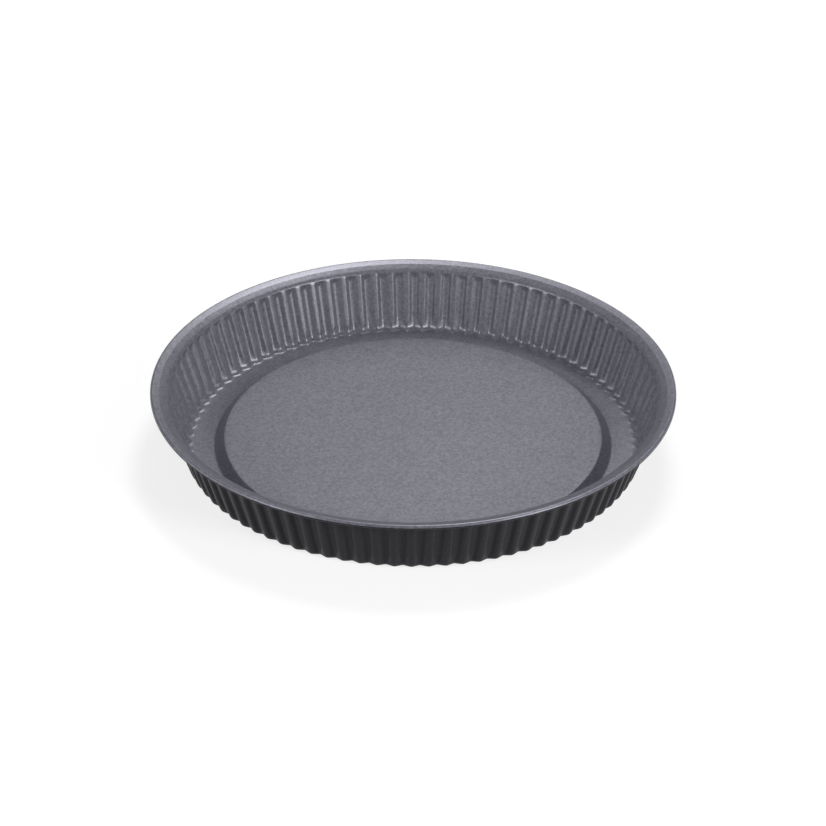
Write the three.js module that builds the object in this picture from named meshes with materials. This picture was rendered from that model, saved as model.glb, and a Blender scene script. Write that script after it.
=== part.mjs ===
// A shallow round baking pan: one drawn sheet-steel shell with a fluted wall, rolled round a rim wire.
// Millimetres, +Z up. The pan stands on the plane z = 0, and the Z axis is its centre line.
import * as THREE from "three";

// Overall sizes
const rimDiameter = 285; // outside of the rolled edge
const panHeight = 37.8; // table to the top of the rolled edge
const sheet = 0.5; // thickness of the steel

// Rolled edge and the wire inside it
const wireDiameter = 1;
const wireClearance = 0.3; // between the wire and the curl
const wireButtGap = 1; // between the two ends of the wire
const curlWrap = 270; // degrees that the sheet turns round the wire

// Rim, the flat band inside the rolled edge
const rimSlope = 17; // degrees above level
const rimWidth = 3.2; // measured level

// Lip, the smooth band between the flutes and the rim
const lipSlope = 28; // degrees above level
const lipRise = 2.4;
const lipBend = 2; // bend radius on the inside of the pan, as for the other bends

// Wall and floor
const wallDraft = 19; // degrees from upright
const ridgeBend = 1; // at the foot of the ridges between the flutes
const bedBend = 4.5; // at the foot of the beds of the flutes
const troughWidth = 12.6; // level ring between the wall and the raised centre
const stepRise = 5; // height of the raised centre above the ring
const stepSlope = 45; // degrees above level
const stepBend = 1.8;

// Flutes, measured at the foot of the wall, where they run out into the floor
const flutePitch = 8.68;
const fluteDepth = 2;
const fluteBed = 1.8; // flat at the back of a flute
const fluteRidge = 3.6; // flat between two flutes
const fluteTop = 4; // length of the closed top, along the wall

// Fineness of the round forms
const curlSteps = 8;
const bendSteps = 2;
const wireSides = 10;

const degree = Math.PI / 180;
const fullTurn = 2 * Math.PI;

// The section of the pan, as corners of the sheet's inside face: x is the radius and y the height.
// They follow the ridges between the flutes, and the beds of the flutes stand further out.
const wireRadius = wireDiameter / 2;
const curlInside = wireRadius + wireClearance;
const curlOutside = curlInside + sheet;
const beadCentre = new THREE.Vector2(rimDiameter / 2 - curlOutside, panHeight - curlOutside);
const rimTop = onCurl(rimSlope * degree);
const rimRise = rimWidth * Math.tan(rimSlope * degree);
const rimFoot = new THREE.Vector2(rimTop.x - rimWidth, rimTop.y - rimRise);
const lipRun = lipRise / Math.tan(lipSlope * degree);
const lipFoot = new THREE.Vector2(rimFoot.x - lipRun, rimFoot.y - lipRise);
const wallRun = (lipFoot.y - sheet) * Math.tan(wallDraft * degree);
const wallFoot = new THREE.Vector2(lipFoot.x - wallRun, sheet);
const bedFoot = new THREE.Vector2(wallFoot.x + fluteDepth, sheet);
const wallWay = lipFoot.clone().sub(wallFoot).normalize();
const stepFoot = new THREE.Vector2(wallFoot.x - troughWidth, sheet);
const stepRun = stepRise / Math.tan(stepSlope * degree);
const stepTop = new THREE.Vector2(stepFoot.x - stepRun, sheet + stepRise);
const centreTop = new THREE.Vector2(0, stepTop.y);

// The flutes, as angles from the middle of a flute. The flanks keep the sheet's thickness,
// so on the outside of the wall the same corners stand a little further from the middle.
const fluteCount = Math.round((fullTurn * wallFoot.x) / flutePitch);
const fluteAngle = fullTurn / fluteCount;
const bedHalf = fluteBed / 2;
const mouthHalf = (fluteAngle * wallFoot.x - fluteRidge) / 2;
const flankSlope = Math.atan2(fluteDepth, mouthHalf - bedHalf);
const flankShift = sheet * Math.tan(flankSlope / 2);

// The way across the sheet, from its inside face to its outside face, where the face runs at this heading.
function acrossSheet(heading) {
  return new THREE.Vector2(Math.sin(heading), -Math.cos(heading));
}

// The point of the curl's outside where the sheet runs at this heading.
function onCurl(heading) {
  return beadCentre.clone().addScaledVector(acrossSheet(heading), -curlOutside);
}

// A station is a place along the section, with the way across the sheet there and the place of a flute's bed.
// Its layout says which points the ring round the pan has there.
function station(at, heading, layout = "plain") {
  const bed = new THREE.Vector2(at.x + fluteDepth, at.y);
  return { at, bed, across: acrossSheet(heading), layout };
}

// Stations round one corner of the section, from the start of its bend to the end.
function bendStations(corner, arriving, leaving, radius) {
  const turn = leaving - arriving;
  const side = Math.sign(turn);
  const tangent = radius * Math.tan(Math.abs(turn) / 2);
  const back = new THREE.Vector2(-Math.cos(arriving), -Math.sin(arriving));
  const start = corner.clone().addScaledVector(back, tangent);
  const centre = start.clone().addScaledVector(acrossSheet(arriving), -side * radius);
  const stations = [];
  for (let i = 0; i <= bendSteps; i++) {
    const heading = arriving + (turn * i) / bendSteps;
    const at = centre.clone().addScaledVector(acrossSheet(heading), side * radius);
    stations.push(station(at, heading));
  }
  return stations;
}

// The whole section, from the middle of the pan to the cut end of the curl.
function sectionStations() {
  const level = 0;
  const downStep = -stepSlope * degree;
  const upWall = (90 - wallDraft) * degree;
  const upLip = lipSlope * degree;
  const upRim = rimSlope * degree;
  const stepStations = [
    ...bendStations(stepTop, level, downStep, stepBend),
    ...bendStations(stepFoot, downStep, level, stepBend),
  ];
  const lipStations = bendStations(lipFoot, upWall, upLip, lipBend);

  // The foot of the wall is sharp at the ridges, and well rounded at the beds of the flutes.
  const footStations = bendStations(wallFoot, level, upWall, ridgeBend);
  const bedStations = bendStations(bedFoot, level, upWall, bedBend);
  footStations.forEach((foot, i) => {
    foot.layout = "fluted";
    foot.bed = bedStations[i].at;
  });

  // The closed tops of the flutes end where the wall starts to bend out.
  const closed = lipStations[0];
  closed.layout = "closing";
  const closingStart = closed.at.clone().addScaledVector(wallWay, -fluteTop);

  const curlStations = [];
  for (let i = 1; i <= curlSteps; i++) {
    const heading = upRim - (curlWrap * degree * i) / curlSteps;
    curlStations.push(station(onCurl(heading), heading));
  }
  return [
    station(centreTop, level, "point"),
    ...stepStations,
    ...footStations,
    station(closingStart, upWall, "fluted"),
    ...lipStations,
    station(rimFoot, (upLip + upRim) / 2),
    station(rimTop, upRim),
    ...curlStations,
  ];
}

// The corners of one flute, as a distance from its middle and a share of the depth.
function fluteCorners(layout, shift) {
  const bed = bedHalf + shift;
  const mouth = mouthHalf + shift;
  if (layout === "fluted") {
    return [
      [-mouth, 0],
      [-bed, 1],
      [bed, 1],
      [mouth, 0],
    ];
  }
  if (layout === "closing") {
    return [
      [-mouth, 0],
      [mouth, 0],
    ];
  }
  return [[0, 0]];
}

// A ring of points round the pan at one station, on the inside face or the outside face of the sheet.
function ringAt({ at, bed, across, layout }, outside) {
  const corners = fluteCorners(layout, outside ? flankShift : 0);
  const copies = layout === "point" ? 1 : fluteCount;
  const ring = [];
  for (let flute = 0; flute < copies; flute++) {
    for (const [aside, share] of corners) {
      const angle = flute * fluteAngle + aside / wallFoot.x;
      const face = at.clone().lerp(bed, share).addScaledVector(across, outside ? sheet : 0);
      ring.push({ angle, x: face.x * Math.cos(angle), y: face.x * Math.sin(angle), z: face.y });
    }
  }
  return ring;
}

// Triangles between two rings that may have different numbers of points: each step takes the shorter diagonal.
function stitchRings(first, firstIndex, second, secondIndex, faces) {
  const angleAt = (ring, i) => ring[i % ring.length].angle + fullTurn * Math.floor(i / ring.length);
  let a = 0;
  let b = 0;
  while (a < first.length || b < second.length) {
    const here = firstIndex + (a % first.length);
    const there = secondIndex + (b % second.length);
    const reachFirst = Math.abs(angleAt(first, a + 1) - angleAt(second, b));
    const reachSecond = Math.abs(angleAt(second, b + 1) - angleAt(first, a));
    const firstDone = a === first.length;
    const takeSecond = b < second.length && (firstDone || reachSecond <= reachFirst);
    if (takeSecond) {
      b += 1;
      if (second.length > 1) faces.push(here, there, secondIndex + (b % second.length));
    } else {
      a += 1;
      if (first.length > 1) faces.push(here, there, firstIndex + (a % first.length));
    }
  }
}

// A closed skin over a run of rings.
function skinRings(rings) {
  const points = [];
  const starts = [];
  for (const ring of rings) {
    starts.push(points.length / 3);
    for (const { x, y, z } of ring) points.push(x, y, z);
  }
  const faces = [];
  for (let i = 0; i + 1 < rings.length; i++) {
    stitchRings(rings[i], starts[i], rings[i + 1], starts[i + 1], faces);
  }
  const geometry = new THREE.BufferGeometry();
  geometry.setAttribute("position", new THREE.Float32BufferAttribute(points, 3));
  geometry.setIndex(faces);
  geometry.computeVertexNormals();
  return geometry;
}

// The line of the wire: a circle inside the curl, open at the back by the gap between its ends.
class WireLine extends THREE.Curve {
  getPoint(t, target = new THREE.Vector3()) {
    const gapAngle = wireButtGap / beadCentre.x;
    const angle = Math.PI / 2 + gapAngle / 2 + t * (fullTurn - gapAngle);
    return target.set(beadCentre.x * Math.cos(angle), beadCentre.x * Math.sin(angle), beadCentre.y);
  }
}

function makePanShell() {
  const stations = sectionStations();
  const inside = stations.map((place) => ringAt(place, false));
  const outside = stations.map((place) => ringAt(place, true)).reverse();
  const coatedSteel = new THREE.MeshStandardMaterial({ color: 0x6b6b72, roughness: 0.42, metalness: 0.5 });
  const mesh = new THREE.Mesh(skinRings([...inside, ...outside]), coatedSteel);
  mesh.name = "pan_shell";
  return mesh;
}

function makeRimWire() {
  const section = new THREE.Shape().absarc(0, 0, wireRadius, 0, fullTurn);
  const geometry = new THREE.ExtrudeGeometry(section, {
    extrudePath: new WireLine(),
    steps: fluteCount,
    curveSegments: wireSides / 2, // a full circle takes two points for each
    bevelEnabled: false,
  });
  const bareSteel = new THREE.MeshStandardMaterial({ color: 0x9a9a9c, roughness: 0.35, metalness: 1 });
  const mesh = new THREE.Mesh(geometry, bareSteel);
  mesh.name = "rim_wire";
  return mesh;
}

const pan = new THREE.Group();
pan.name = "baking_pan";
pan.add(makePanShell(), makeRimWire());

export default pan;
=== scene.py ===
import math

import bmesh
import bpy
from mathutils import Matrix, Vector


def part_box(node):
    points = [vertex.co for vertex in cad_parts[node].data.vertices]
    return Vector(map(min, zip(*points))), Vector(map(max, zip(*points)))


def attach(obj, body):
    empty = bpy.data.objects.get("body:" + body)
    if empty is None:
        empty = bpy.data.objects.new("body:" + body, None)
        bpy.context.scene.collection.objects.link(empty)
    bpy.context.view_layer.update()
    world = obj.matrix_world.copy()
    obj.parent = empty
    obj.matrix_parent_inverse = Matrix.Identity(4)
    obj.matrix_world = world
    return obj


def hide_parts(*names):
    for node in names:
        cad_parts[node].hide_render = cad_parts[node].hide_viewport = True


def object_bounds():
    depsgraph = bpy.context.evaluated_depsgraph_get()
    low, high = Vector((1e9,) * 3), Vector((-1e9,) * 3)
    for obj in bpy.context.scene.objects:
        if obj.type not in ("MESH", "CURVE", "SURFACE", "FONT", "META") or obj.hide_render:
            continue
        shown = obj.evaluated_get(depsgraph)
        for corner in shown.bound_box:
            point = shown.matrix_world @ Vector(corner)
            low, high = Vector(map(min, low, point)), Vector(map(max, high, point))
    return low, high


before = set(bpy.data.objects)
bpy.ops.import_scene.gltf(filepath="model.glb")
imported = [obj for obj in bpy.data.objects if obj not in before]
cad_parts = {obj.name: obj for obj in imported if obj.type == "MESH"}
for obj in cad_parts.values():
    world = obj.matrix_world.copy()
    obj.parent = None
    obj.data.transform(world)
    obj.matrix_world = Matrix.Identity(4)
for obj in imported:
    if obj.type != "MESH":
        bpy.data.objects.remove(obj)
cadLow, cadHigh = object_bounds()
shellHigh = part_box("pan_shell")[1]
wireLow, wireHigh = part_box("rim_wire")
mm = 0.001
fullTurn = 2 * math.pi
print("frame: rim %.1f mm across, %.1f mm high" % (2 * shellHigh.x / mm, shellHigh.z / mm))


def addObject(name, data):
    thing = bpy.data.objects.new(name, data)
    bpy.context.scene.collection.objects.link(thing)
    return thing


def meshFrom(points, faces, name, sharpAngle):
    mesh = bpy.data.meshes.new(name)
    mesh.from_pydata(points, [], faces)
    shell = bmesh.new()
    shell.from_mesh(mesh)
    bmesh.ops.recalc_face_normals(shell, faces=shell.faces)
    shell.to_mesh(mesh)
    shell.free()
    mesh.shade_smooth()
    mesh.set_sharp_from_angle(angle=math.radians(sharpAngle))
    return mesh


# a point this far out from the centre line
def roundPlace(out, angle, height):
    return (out * math.cos(angle), out * math.sin(angle), height)


# faces between two rings of vertex numbers; one ring may be finer, or a single point
def joinRings(first, second):
    if len(first) > len(second):
        return [face[::-1] for face in joinRings(second, first)]
    share = len(second) // len(first)
    faces = []
    for i in range(len(first)):
        edge = [second[(i * share + k) % len(second)] for k in range(share + 1)]
        if len(first) == 1:
            faces += [(first[0], edge[k], edge[k + 1]) for k in range(share)]
        else:
            faces.append((first[(i + 1) % len(first)], first[i], *edge))
    return faces


# The pan, one drawn sheet. Its section runs from the middle to the cut end of the rolled edge.
pan = {
    "sheet": 0.5 * mm,
    "curlRadius": 1.3 * mm,  # outside of the rolled edge
    "curlWrap": 270,  # degrees that the sheet turns
    "rimSlope": 17,  # flat band inside the rolled edge, degrees above level
    "rimWidth": 3.2 * mm,
    "rimBend": 1.5 * mm,
    "lipSlope": 28,  # smooth band above the flutes
    "lipRise": 2.4 * mm,
    "lipBend": 5 * mm,
    "wallDraft": 17.4,  # degrees from upright
    "ridgeBend": 3.6 * mm,  # foot of the wall between the flutes
    "bedBend": 4 * mm,  # foot of the wall in the flutes
    "ringWidth": 13.7 * mm,  # level ring between the wall and the raised centre
    "stepRise": 5 * mm,
    "stepSlope": 45,  # degrees above level
    "stepBend": 1.8 * mm,
    "flutes": 88,
    "fluteDepth": 1.9 * mm,
    "fluteBed": 2.5 * mm,  # flat at the back of a flute
    "fluteRidge": 2.9 * mm,  # flat between two flutes
    "fluteTop": 3.4 * mm,  # length of the sloping closed top
    "topReach": 1.4 * mm,  # how far the closed top goes into the bend of the lip
    "topRun": 1.3,  # wall with close rings below the lip, in lengths of the closed top
    "fluteRound": 1.1 * mm,  # softness of the flutes' edges
    "footRound": 3.6 * mm,  # the same at the foot
    "footRun": 5 * mm,  # length of wall over which they turn soft
    "topRound": 0.5 * mm,  # softness of the closed top's edges
    "edgeSamples": 9,  # places averaged for a soft edge
    "centreEdge": 0.97,  # share of the raised centre inside its outer ring of points
    "roundPoints": 4,  # points for each flute on the plain rings
    "flutePoints": 16,  # points for each flute on the fluted rings
    "bendSteps": 6,
    "footSteps": 5,
    "lipSteps": 16,
    "wallSteps": 4,
    "topSteps": 12,
    "curlSteps": 40,
    "outerFrom": -75,  # degrees of the rolled edge's heading where the outside coat begins
    "sharpAngle": 50,  # degrees between two faces that stay an edge
}


# the way through the sheet, from its inside face to its outside face
def throughSheet(heading):
    return Vector((math.sin(heading), -math.cos(heading)))


# places round one corner of the section, each with its heading
def bendRun(corner, arriving, leaving, radius, steps=pan["bendSteps"]):
    turn = leaving - arriving
    side = math.copysign(1, turn)
    back = radius * math.tan(abs(turn) / 2)
    start = corner - back * Vector((math.cos(arriving), math.sin(arriving)))
    centre = start - side * radius * throughSheet(arriving)
    run = []
    for i in range(steps + 1):
        heading = arriving + turn * i / steps
        run.append((centre + side * radius * throughSheet(heading), heading))
    return run


# corners of the section on the inside face, as (radius, height)
curl = pan["curlRadius"]
upRim = math.radians(pan["rimSlope"])
upLip = math.radians(pan["lipSlope"])
upWall = math.radians(90 - pan["wallDraft"])
downStep = -math.radians(pan["stepSlope"])
beadCentre = Vector((shellHigh.x - curl, (wireLow.z + wireHigh.z) / 2))
rimTop = beadCentre - curl * throughSheet(upRim)
rimFoot = rimTop - pan["rimWidth"] * Vector((1, math.tan(upRim)))
lipFoot = rimFoot - pan["lipRise"] * Vector((1 / math.tan(upLip), 1))
floorLevel = pan["sheet"]
wallFoot = Vector((lipFoot.x - (lipFoot.y - floorLevel) / math.tan(upWall), floorLevel))
stepFoot = Vector((wallFoot.x - pan["ringWidth"], floorLevel))
stepTop = stepFoot + pan["stepRise"] * Vector((1 / math.tan(downStep), 1))
wallWay = (lipFoot - wallFoot).normalized()

# bends that the flutes start and end in
bedShift = Vector((pan["fluteDepth"], 0))
ridgeFootRun = bendRun(wallFoot, 0, upWall, pan["ridgeBend"])
bedFootRun = bendRun(wallFoot + bedShift, 0, upWall, pan["bedBend"])
lipRun = bendRun(lipFoot, upWall, upLip, pan["lipBend"], pan["lipSteps"])
footEnd = ridgeFootRun[-1][0]
lipStart = lipRun[0][0]

# half widths across one flute, along the foot of the wall
pitchHalf = math.pi * wallFoot.x / pan["flutes"]
bedHalf = pan["fluteBed"] / 2
mouthHalf = pitchHalf - pan["fluteRidge"] / 2
fullRoom = 2 * pan["fluteDepth"]  # more than any flute takes


# A station is (place on the ridges, place on the beds, heading, room for a flute, softness of its edges).
# The plain rings have no room for one.
def plain(run):
    return [(at, at, heading, None, 0) for at, heading in run]


def fluted(at, heading, room=fullRoom, soften=pan["fluteRound"]):
    return (at, at + bedShift, heading, room, soften)


def centreStations():
    middle = Vector((0, stepTop.y))
    edge = Vector((stepTop.x * pan["centreEdge"], stepTop.y))
    run = [(middle, 0), (edge, 0)]
    run += bendRun(stepTop, 0, downStep, pan["stepBend"])
    run += bendRun(stepFoot, downStep, 0, pan["stepBend"])
    run.append(((stepFoot + wallFoot) / 2, 0))
    return plain(run)


# the flutes are softer at the foot than on the wall
def footStations():
    stations = []
    for (ridge, heading), bed in zip(ridgeFootRun, bedFootRun):
        stations.append((ridge, bed[0], heading, fullRoom, pan["footRound"]))
    for i in range(1, pan["footSteps"]):
        share = i / pan["footSteps"]
        soften = pan["footRound"] + (pan["fluteRound"] - pan["footRound"]) * share
        stations.append(fluted(footEnd + pan["footRun"] * share * wallWay, upWall, fullRoom, soften))
    return stations


# room under the sloping top, where this length of it is left
def topRoom(left):
    return pan["fluteDepth"] * left / pan["fluteTop"]


def wallStations():
    wallStart = footEnd + pan["footRun"] * wallWay
    topStart = lipStart - pan["topRun"] * pan["fluteTop"] * wallWay
    stations = []
    for i in range(pan["wallSteps"]):
        stations.append(fluted(wallStart.lerp(topStart, i / pan["wallSteps"]), upWall))
    for i in range(pan["topSteps"]):
        at = topStart.lerp(lipStart, i / pan["topSteps"])
        stations.append(fluted(at, upWall, topRoom((lipStart - at).length + pan["topReach"])))
    return stations


# the flutes run out just inside the bend of the lip
def lipStations():
    stations = []
    for at, heading in lipRun:
        left = pan["topReach"] - pan["lipBend"] * (upWall - heading)
        if left > 0:
            stations.append(fluted(at, heading, topRoom(left)))
        else:
            stations += plain([(at, heading)])
    return stations


def rimStations():
    run = bendRun(rimFoot, upLip, upRim, pan["rimBend"])
    run.append((rimTop, upRim))
    wrap = math.radians(pan["curlWrap"])
    for i in range(1, pan["curlSteps"] + 1):
        heading = upRim - wrap * i / pan["curlSteps"]
        run.append((beadCentre - curl * throughSheet(heading), heading))
    return plain(run)


# depth of a flute at this distance from its middle: a trapezoid with its edges averaged soft
def fluteShape(aside, soften):
    samples = pan["edgeSamples"]
    total = 0
    for i in range(samples):
        place = aside + soften * (i / (samples - 1) - 0.5)
        place = abs((place + pitchHalf) % (2 * pitchHalf) - pitchHalf)
        total += min(1, max(0, (mouthHalf - place) / (mouthHalf - bedHalf)))
    return pan["fluteDepth"] * total / samples


# the sloping top cuts the flute short, with a soft edge between the two
def fluteDepthAt(aside, room, soften):
    depth = fluteShape(aside, soften)
    soft = pan["topRound"] * min(1, depth / pan["topRound"], room / pan["topRound"])
    if soft <= 0:
        return 0
    overlap = max(0, soft - abs(depth - room))
    return min(depth, room) - overlap ** 2 / (4 * soft)


# one flute's points on one face of the sheet, as (angle from its middle, share of the depth, shift out)
def fluteProfile(room, soften, outside):
    if room is None:
        count = pan["roundPoints"]
        return [((2 * i / count - 1) * math.pi / pan["flutes"], 0, 0) for i in range(count)]
    count = pan["flutePoints"]
    nudge = 0.02 * mm  # to either side, for the slope of a flank
    profile = []
    for i in range(count):
        aside = (2 * i / count - 1) * pitchHalf
        share = fluteDepthAt(aside, room, soften) / pan["fluteDepth"]
        shift = 0
        if outside:
            # the flanks keep the sheet's thickness
            before, after = (fluteDepthAt(aside + step, room, soften) for step in (-nudge, nudge))
            slope = (after - before) / (2 * nudge)
            lean = math.sqrt(1 + slope ** 2)
            aside -= pan["sheet"] * slope / lean
            shift = pan["sheet"] * (1 / lean - 1)
        profile.append((aside / wallFoot.x, share, shift))
    return profile


def makePanShell():
    points, rings = [], []

    def addRing(station, outside):
        at, bed, heading, room, soften = station
        middle = at.x == 0
        through = pan["sheet"] * throughSheet(heading) if outside else Vector((0, 0))
        profile = [(0, 0, 0)] if middle else fluteProfile(room, soften, outside)
        ring = []
        for flute in range(1 if middle else pan["flutes"]):
            for aside, share, shift in profile:
                place = at.lerp(bed, share) + through
                ring.append(len(points))
                angle = flute * fullTurn / pan["flutes"] + aside
                points.append(roundPlace(place.x + shift, angle, place.y))
        rings.append(ring)

    stations = centreStations() + footStations() + wallStations() + lipStations() + rimStations()
    for station in stations:
        addRing(station, False)
    for station in reversed(stations):
        addRing(station, True)
    # the outside coat, darkened with painted shade, begins where the rolled edge starts to face down
    outerHeading = math.radians(pan["outerFrom"])
    outerStart = next(i for i, station in enumerate(stations) if station[2] < outerHeading)
    faces, coats = [], []
    for i in range(len(rings) - 1):
        added = joinRings(rings[i], rings[i + 1])
        faces += added
        coats += [1 if i >= outerStart else 0] * len(added)
    mesh = meshFrom(points, faces, "panShell", pan["sharpAngle"])
    mesh.polygons.foreach_set("material_index", coats)
    return addObject("panShell", mesh)


panShell = makePanShell()
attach(panShell, "root")
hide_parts("pan_shell")
print("pan shell: %d faces" % len(panShell.data.polygons))

# The wire inside the rolled edge, with its two ends butted at the back.
wire = {
    "buttGap": 1 * mm,
    "endRound": 0.12 * mm,
    "endShare": 0.3,  # how far along the rounded end its middle ring lies
    "sides": 16,
    "steps": 352,
    "sharpAngle": 60,
}


def makeRimWire():
    radius = (wireHigh.z - wireLow.z) / 2
    lineRadius = beadCentre.x
    gapAngle = wire["buttGap"] / lineRadius
    endAngle = wire["endRound"] / lineRadius
    start = math.pi / 2 + gapAngle / 2
    span = fullTurn - gapAngle
    # each stop is (angle along the wire, radius there), with the ends slightly rounded over
    ends = [(0, radius - wire["endRound"])]
    ends.append((endAngle * wire["endShare"], radius - wire["endRound"] * wire["endShare"]))
    stops = list(ends)
    for i in range(wire["steps"] + 1):
        stops.append((endAngle + (span - 2 * endAngle) * i / wire["steps"], radius))
    stops += [(span - along, thick) for along, thick in reversed(ends)]
    points, rings = [], []
    for along, thick in stops:
        ring = []
        for i in range(wire["sides"]):
            turn = fullTurn * i / wire["sides"]
            out = lineRadius + thick * math.cos(turn)
            height = beadCentre.y + thick * math.sin(turn)
            ring.append(len(points))
            points.append(roundPlace(out, start + along, height))
        rings.append(ring)
    faces = [tuple(rings[0]), tuple(rings[-1])]
    for first, second in zip(rings, rings[1:]):
        faces += joinRings(first, second)
    return addObject("rimWire", meshFrom(points, faces, "rimWire", wire["sharpAngle"]))


rimWire = makeRimWire()
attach(rimWire, "root")
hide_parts("rim_wire")
print("rim wire: %d faces" % len(rimWire.data.polygons))


# Finishes
def newFinish(name):
    finish = bpy.data.materials.new(name)
    finish.use_nodes = True
    nodes = finish.node_tree.nodes
    nodes.clear()
    return finish, nodes, finish.node_tree.links


def newShader(nodes, links):
    output = nodes.new("ShaderNodeOutputMaterial")
    shader = nodes.new("ShaderNodeBsdfPrincipled")
    links.new(shader.outputs["BSDF"], output.inputs["Surface"])
    return shader


def noiseGrain(nodes, links, place, scale, detail):
    grain = nodes.new("ShaderNodeTexNoise")
    grain.inputs["Scale"].default_value = scale
    grain.inputs["Detail"].default_value = detail
    links.new(place, grain.inputs["Vector"])
    return grain.outputs["Fac"]


# a colour from dark to light over this part of the grain
def grainTone(nodes, links, grain, part, dark, light):
    tone = nodes.new("ShaderNodeValToRGB")
    for end, position, colour in zip(tone.color_ramp.elements, part, (dark, light)):
        end.position = position
        end.color = colour
    links.new(grain, tone.inputs["Fac"])
    return tone.outputs["Color"]


# a value from low to high over this part of the grain
def grainValue(nodes, links, grain, part, low, high):
    value = nodes.new("ShaderNodeMapRange")
    value.inputs["From Min"].default_value, value.inputs["From Max"].default_value = part
    value.inputs["To Min"].default_value = low
    value.inputs["To Max"].default_value = high
    links.new(grain, value.inputs["Value"])
    return value.outputs["Result"]


# The inside has a grey non-stick coat, and the outside a darker, duller one, both with the same grain.
# The outside's darkness is painted shade, for the outer wall that faces away from the lamps.
innerCoat = {
    "darkFleck": (0.126, 0.126, 0.151, 1),
    "lightFleck": (0.224, 0.224, 0.269, 1),
    "metallic": 0.3,
    "roughLow": 0.32,
    "roughHigh": 0.38,
    "ior": 1.5,
}
# painted shade: the outside coat's colour is darkened to stand in for the shade on the outer wall
outerShadeCoat = {
    "darkFleck": (0.02, 0.0195, 0.0235, 1),
    "lightFleck": (0.035, 0.034, 0.041, 1),
    "metallic": 0,
    "roughLow": 0.4,
    "roughHigh": 0.48,
    "ior": 1.22,
}
coatGrain = {
    "fleckScale": 650,  # flecks for each metre
    "fleckDetail": 2,
    "fleckPart": (0.25, 0.75),
    "roughPart": (0.3, 0.7),
    "cloudScale": 45,
    "cloudDetail": 3,
    "cloudShare": 0.06,  # how far the clouds lift or lower the tone
    "peelScale": 700,
    "peelDetail": 3,
    "peelHeight": 0.004 * mm,
}


# satin coating: fine fleck, faint clouds and a slight peel in the surface
def coatedFinish(name, coat):
    finish, nodes, links = newFinish(name)
    shader = newShader(nodes, links)
    shader.inputs["IOR"].default_value = coat["ior"]
    shader.inputs["Metallic"].default_value = coat["metallic"]
    place = nodes.new("ShaderNodeTexCoord").outputs["Object"]

    fleck = noiseGrain(nodes, links, place, coatGrain["fleckScale"], coatGrain["fleckDetail"])
    tone = grainTone(nodes, links, fleck, coatGrain["fleckPart"], coat["darkFleck"], coat["lightFleck"])
    rough = grainValue(nodes, links, fleck, coatGrain["roughPart"], coat["roughLow"], coat["roughHigh"])
    links.new(rough, shader.inputs["Roughness"])

    cloud = noiseGrain(nodes, links, place, coatGrain["cloudScale"], coatGrain["cloudDetail"])
    lowest, highest = 1 - coatGrain["cloudShare"], 1 + coatGrain["cloudShare"]
    lift = grainValue(nodes, links, cloud, (0, 1), lowest, highest)
    shade = nodes.new("ShaderNodeVectorMath")
    shade.operation = "SCALE"
    links.new(tone, shade.inputs[0])
    links.new(lift, shade.inputs["Scale"])
    links.new(shade.outputs["Vector"], shader.inputs["Base Color"])

    peel = noiseGrain(nodes, links, place, coatGrain["peelScale"], coatGrain["peelDetail"])
    bump = nodes.new("ShaderNodeBump")
    bump.inputs["Distance"].default_value = coatGrain["peelHeight"]
    links.new(peel, bump.inputs["Height"])
    links.new(bump.outputs["Normal"], shader.inputs["Normal"])
    return finish


drawnSteel = {
    "dark": (0.44, 0.44, 0.45, 1),
    "light": (0.62, 0.62, 0.63, 1),
    "lineScale": (60, 2500, 2500),
    "lineDetail": 4,
    "tonePart": (0.3, 0.7),
    "roughLow": 0.25,
    "roughHigh": 0.45,
}


# bare drawn wire, with fine lines from the die
def wireFinish():
    finish, nodes, links = newFinish("drawnWire")
    shader = newShader(nodes, links)
    shader.inputs["Metallic"].default_value = 1
    place = nodes.new("ShaderNodeTexCoord").outputs["Object"]
    stretch = nodes.new("ShaderNodeMapping")
    stretch.inputs["Scale"].default_value = drawnSteel["lineScale"]
    links.new(place, stretch.inputs["Vector"])
    lines = noiseGrain(nodes, links, stretch.outputs["Vector"], 1, drawnSteel["lineDetail"])
    tone = grainTone(nodes, links, lines, drawnSteel["tonePart"], drawnSteel["dark"], drawnSteel["light"])
    links.new(tone, shader.inputs["Base Color"])
    rough = grainValue(nodes, links, lines, (0, 1), drawnSteel["roughLow"], drawnSteel["roughHigh"])
    links.new(rough, shader.inputs["Roughness"])
    return finish


panShell.data.materials.append(coatedFinish("innerCoat", innerCoat))
# the outside faces get the coat darkened with painted shade
panShell.data.materials.append(coatedFinish("outerShadeCoat", outerShadeCoat))
rimWire.data.materials.append(wireFinish())
print("finishes: two coats and bare wire")

# The floor is pale where the camera or a gloss sees it, and gives the pan little light back.
studioFloor = {
    "radius": 6,
    "segments": 96,
    "glow": 0.74,
    "pale": (0.34, 0.34, 0.34, 1),
    "dull": (0.08, 0.08, 0.08, 1),
}


# 1 where a ray comes from the camera, a gloss or a clear surface
def seenRays(nodes, links):
    path = nodes.new("ShaderNodeLightPath")
    seen = path.outputs["Is Camera Ray"]
    for name in ("Is Glossy Ray", "Is Transmission Ray"):
        either = nodes.new("ShaderNodeMath")
        either.operation = "MAXIMUM"
        links.new(seen, either.inputs[0])
        links.new(path.outputs[name], either.inputs[1])
        seen = either.outputs["Value"]
    return seen


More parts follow.
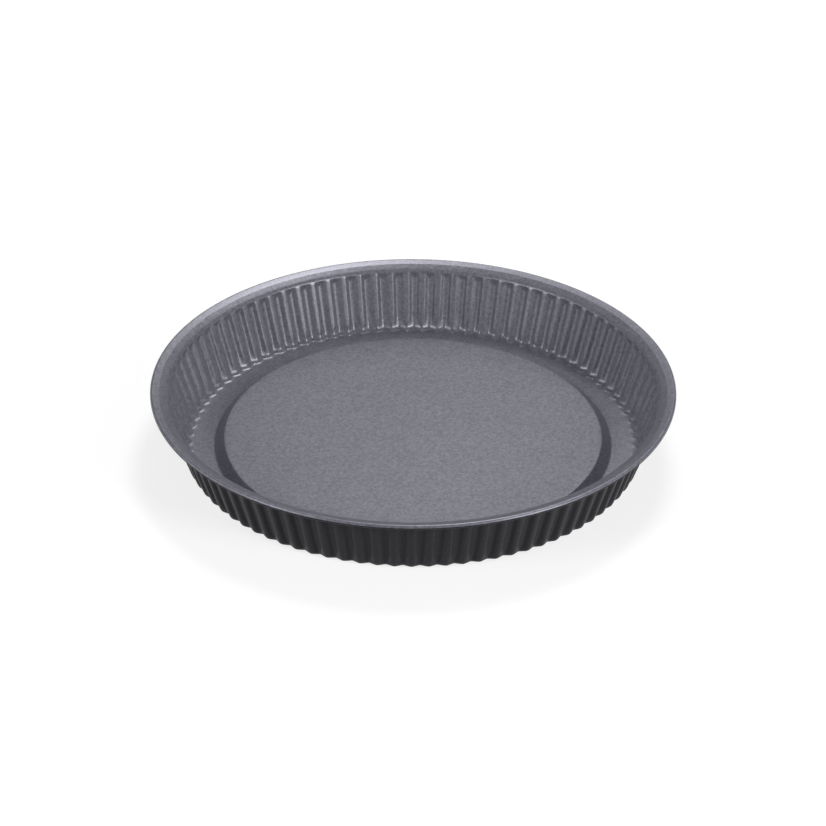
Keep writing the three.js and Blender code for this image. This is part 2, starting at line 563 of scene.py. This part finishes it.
def floorFinish():
    finish, nodes, links = newFinish("paleFloor")
    output = nodes.new("ShaderNodeOutputMaterial")
    glow = nodes.new("ShaderNodeEmission")
    glow.inputs["Strength"].default_value = studioFloor["glow"]
    pale = nodes.new("ShaderNodeBsdfDiffuse")
    pale.inputs["Color"].default_value = studioFloor["pale"]
    dull = nodes.new("ShaderNodeBsdfDiffuse")
    dull.inputs["Color"].default_value = studioFloor["dull"]
    shown = nodes.new("ShaderNodeAddShader")
    links.new(glow.outputs["Emission"], shown.inputs[0])
    links.new(pale.outputs["BSDF"], shown.inputs[1])
    choose = nodes.new("ShaderNodeMixShader")
    links.new(seenRays(nodes, links), choose.inputs["Fac"])
    links.new(dull.outputs["BSDF"], choose.inputs[1])
    links.new(shown.outputs["Shader"], choose.inputs[2])
    links.new(choose.outputs["Shader"], output.inputs["Surface"])
    return finish


def makeFloor():
    disc = bmesh.new()
    radius, segments = studioFloor["radius"], studioFloor["segments"]
    bmesh.ops.create_circle(disc, cap_ends=True, segments=segments, radius=radius)
    mesh = bpy.data.meshes.new("studioFloor")
    disc.to_mesh(mesh)
    disc.free()
    floor = addObject("studioFloor", mesh)
    floor.location.z = cadLow.z
    floor.data.materials.append(floorFinish())
    return floor


makeFloor()

# A dim even room with soft boxes round the pan, all aimed at its middle.
# A box has its direction in degrees, and its width and height in metres.
studioRoom = {
    "ambient": (0.09, 0.09, 0.092, 1),
    "boxDistance": 1.8,
}
softBoxes = {
    "keyBox": {"azimuth": 319, "elevation": 26, "size": (0.5, 0.5), "watts": 13.8},
    "lowKeyBox": {"azimuth": 322, "elevation": 14, "size": (0.6, 0.4), "watts": 6.4},
    "leftBox": {"azimuth": 214, "elevation": 30, "size": (0.5, 0.5), "watts": 9.5},
    "lowLeftBox": {"azimuth": 210, "elevation": 15, "size": (0.8, 0.45), "watts": 3.8},
    "frontStrip": {"azimuth": 280, "elevation": 12, "size": (1.6, 0.4), "watts": 1.4},
    "rightBox": {"azimuth": 0, "elevation": 16, "size": (0.95, 0.5), "watts": 2},
    "farLeftBox": {"azimuth": 180, "elevation": 16, "size": (0.95, 0.5), "watts": 4.2},
    "backBox": {"azimuth": 73, "elevation": 60, "size": (0.5, 0.55), "watts": 13},
    "wideBackBox": {"azimuth": 90, "elevation": 50, "size": (0.75, 0.5), "watts": 2.6},
    "flatBackBox": {"azimuth": 90, "elevation": 32, "size": (1.2, 0.45), "watts": 1.1},
}


def makeRoom():
    world = bpy.data.worlds.new("studioRoom")
    world.use_nodes = True
    nodes, links = world.node_tree.nodes, world.node_tree.links
    nodes.clear()
    output = nodes.new("ShaderNodeOutputWorld")
    ambient = nodes.new("ShaderNodeBackground")
    ambient.inputs["Color"].default_value = studioRoom["ambient"]
    links.new(ambient.outputs["Background"], output.inputs["Surface"])
    bpy.context.scene.world = world


def makeSoftBox(name, box):
    data = bpy.data.lights.new(name, "AREA")
    data.shape = "RECTANGLE"
    data.size, data.size_y = box["size"]
    data.energy = box["watts"]
    lamp = addObject(name, data)
    rise = math.radians(box["elevation"])
    out = Vector(roundPlace(math.cos(rise), math.radians(box["azimuth"]), math.sin(rise)))
    lamp.location = out * studioRoom["boxDistance"]
    lamp.rotation_mode = "QUATERNION"
    lamp.rotation_quaternion = out.to_track_quat("Z", "Y")


makeRoom()
for name, box in softBoxes.items():
    makeSoftBox(name, box)
print("studio: floor, room and %d soft boxes" % len(softBoxes))

camera = {
    "distance": 1.412,
    "elevation": 31.82,  # degrees above the pan's floor
    "roll": 0.27,
    "turn": 0.2,  # degrees round the pan, for the flutes' places in the photo
    "sensorWidth": 36,  # millimetres
    "frameWidth": 826,  # pixels
    "focalLength": 2564,  # pixels
    "floorCentre": (413.1, 439.2),  # pixel where the middle of the pan's floor is seen
    "nearest": 0.05,  # metres, where the view begins and ends
    "furthest": 50,
}


def makeCamera():
    data = bpy.data.cameras.new("photoCamera")
    data.sensor_width = camera["sensorWidth"]
    data.lens = data.sensor_width * camera["focalLength"] / camera["frameWidth"]
    data.clip_start = camera["nearest"]
    data.clip_end = camera["furthest"]
    seat = addObject("photoCamera", data)
    rise = math.radians(camera["elevation"])
    around = Matrix.Rotation(math.radians(camera["turn"]), 4, "Z")
    out = around @ Vector((0, -math.cos(rise), math.sin(rise)))
    seat.location = Vector((0, 0, floorLevel)) + out * camera["distance"]
    # aimed off the middle, so that the floor's centre falls on its pixel
    middle = camera["frameWidth"] / 2
    across, down = camera["floorCentre"]
    aimUp = math.atan((down - middle) / camera["focalLength"])
    aimRight = math.atan((middle - across) / camera["focalLength"])
    swing = Matrix.Rotation(-aimRight, 4, "Z")
    tilt = Matrix.Rotation(math.pi / 2 - rise + aimUp, 4, "X")
    roll = Matrix.Rotation(math.radians(camera["roll"]), 4, "Z")
    seat.rotation_mode = "QUATERNION"
    seat.rotation_quaternion = (around @ swing @ tilt @ roll).to_quaternion()
    bpy.context.scene.camera = seat


makeCamera()
bpy.context.scene.view_settings.view_transform = "Standard"
print("camera: %.0f mm lens" % bpy.context.scene.camera.data.lens)
